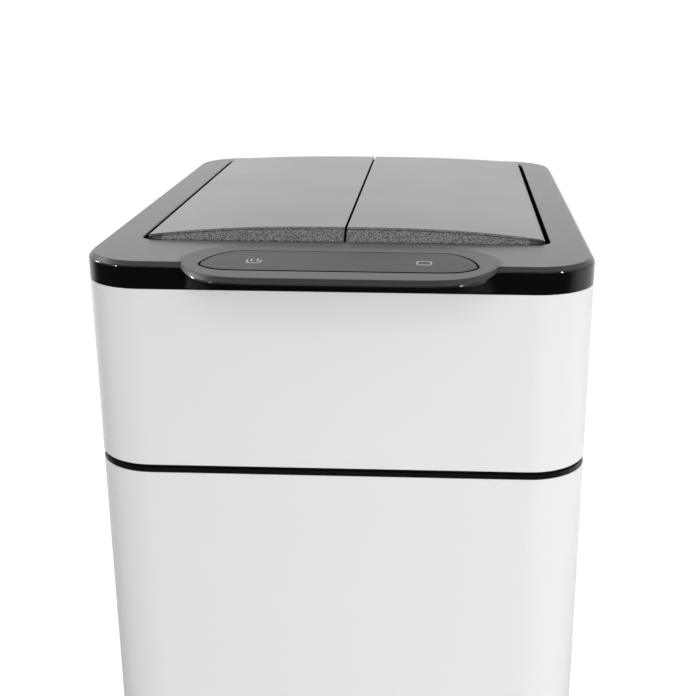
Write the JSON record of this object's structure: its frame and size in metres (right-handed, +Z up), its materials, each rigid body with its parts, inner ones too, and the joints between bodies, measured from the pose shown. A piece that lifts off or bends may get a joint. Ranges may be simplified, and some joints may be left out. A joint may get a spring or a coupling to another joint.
{
  "type": "sensor bin",
  "caption": "Tall rectangular bin with a lift-off head, a front sensor tongue and a pair of coupled butterfly flaps that open upwards.",
  "frame": {"origin": "middle of the footprint, sensor tongue included, on the floor under the feet", "axes": "+Z up, the front with the sensor tongue looks along -Y, +X to the right as seen from the front"},
  "size_m": [0.305, 0.436, 0.6269],
  "materials": {
    "white_steel": "smooth satin powder coat",
    "black_plastic": "satin moulded",
    "flap_skin": "smooth semi-gloss",
    "grained_plastic": "fine moulded grain",
    "window": "dark acrylic",
    "soft_rubber": "matt",
    "circuit_board": "solder mask",
    "copper_pad": "plain",
    "bright_steel": "zinc plated",
    "nylon": "plain",
    "acetal": "plain",
    "cell_wrap": "printed sleeve left plain",
    "lead_sleeve": "soft"
  },
  "bodies": {
    "body": {"body_shell": "white_steel", "base_pan": "black_plastic", "foot_front_left": "soft_rubber", "foot_front_right": "soft_rubber", "foot_back_left": "soft_rubber", "foot_back_right": "soft_rubber", "body_rim": "black_plastic"},
    "bag_ring": {"bag_ring": "black_plastic"},
    "head": {"upper_ring": "white_steel", "lid_frame": "black_plastic", "tongue_underside": "black_plastic", "sensor_window": "window", "control_board": "circuit_board", "ir_emitter": "window", "ir_receiver": "window", "open_touch_pad": "copper_pad", "close_touch_pad": "copper_pad", "board_screw_left": "bright_steel", "board_screw_right": "bright_steel", "drive_housing": "black_plastic", "housing_screw_1": "bright_steel", "housing_screw_2": "bright_steel", "housing_screw_3": "bright_steel", "housing_screw_4": "bright_steel", "gearbox": "black_plastic", "motor_can": "bright_steel", "throat_liner": "black_plastic", "battery_box": "black_plastic", "aa_cell_1": "cell_wrap", "aa_cell_2": "cell_wrap", "aa_cell_3": "cell_wrap", "aa_cell_4": "cell_wrap", "left_contact_plate": "bright_steel", "right_contact_plate": "bright_steel", "switch_housing": "black_plastic", "left_front_bushing": "nylon", "left_rear_bushing": "nylon", "right_front_bushing": "nylon", "right_rear_bushing": "nylon", "front_rest_pad": "soft_rubber", "rear_rest_pad": "soft_rubber", "battery_lead": "lead_sleeve", "motor_lead": "lead_sleeve"},
    "left_flap": {"left_flap_cover": "flap_skin", "left_flap_carrier": "grained_plastic", "left_front_shaft": "bright_steel", "left_rear_pin": "bright_steel", "left_flap_gear": "acetal"},
    "right_flap": {"right_flap_cover": "flap_skin", "right_flap_carrier": "grained_plastic", "right_front_shaft": "bright_steel", "right_rear_pin": "bright_steel", "right_flap_gear": "acetal"},
    "left_rack": {"left_rack": "acetal"},
    "right_rack": {"right_rack": "acetal"},
    "motor_pinion": {"motor_pinion": "acetal"},
    "battery_door": {"battery_door": "black_plastic"},
    "switch_rocker": {"switch_rocker": "black_plastic"}
  },
  "joints": [
    {"name": "head_lift", "type": "slide", "parent": "body", "child": "head", "axis": [0, 0, 1], "range_m": [0, 0.15]},
    {"name": "bag_ring_lift", "type": "slide", "parent": "body", "child": "bag_ring", "axis": [0, 0, 1], "range_m": [0, 0.025]},
    {"name": "left_flap_hinge", "type": "hinge", "parent": "head", "child": "left_flap", "pos_m": [-0.1117, 0.0175, 0.6125], "axis": [0, -1, 0], "range_deg": [0, 82]},
    {"name": "right_flap_hinge", "type": "hinge", "parent": "head", "child": "right_flap", "pos_m": [0.1117, 0.0175, 0.6125], "axis": [0, 1, 0], "range_deg": [0, 82]},
    {"name": "left_rack_slide", "type": "slide", "parent": "head", "child": "left_rack", "axis": [1, 0, 0], "range_m": [0, 0.0287]},
    {"name": "right_rack_slide", "type": "slide", "parent": "head", "child": "right_rack", "axis": [-1, 0, 0], "range_m": [0, 0.0287]},
    {"name": "pinion_spin", "type": "hinge", "parent": "head", "child": "motor_pinion", "pos_m": [0, -0.1376, 0.5875], "axis": [0, -1, 0], "range_deg": [0, 236]},
    {"name": "battery_door_hinge", "type": "hinge", "parent": "head", "child": "battery_door", "pos_m": [0, -0.1372, 0.5374], "axis": [1, 0, 0], "range_deg": [0, 95]},
    {"name": "switch_rock", "type": "hinge", "parent": "head", "child": "switch_rocker", "pos_m": [0.04, -0.15485, 0.5457], "axis": [0, 1, 0], "range_deg": [0, 14]}
  ],
  "couplings": [
    {"joint": "right_flap_hinge", "follows": "left_flap_hinge", "ratio": 1},
    {"joint": "left_rack_slide", "follows": "left_flap_hinge", "m_per_rad": 0.02},
    {"joint": "right_rack_slide", "follows": "left_flap_hinge", "m_per_rad": 0.02},
    {"joint": "pinion_spin", "follows": "left_flap_hinge", "ratio": 2.8571}
  ]
}
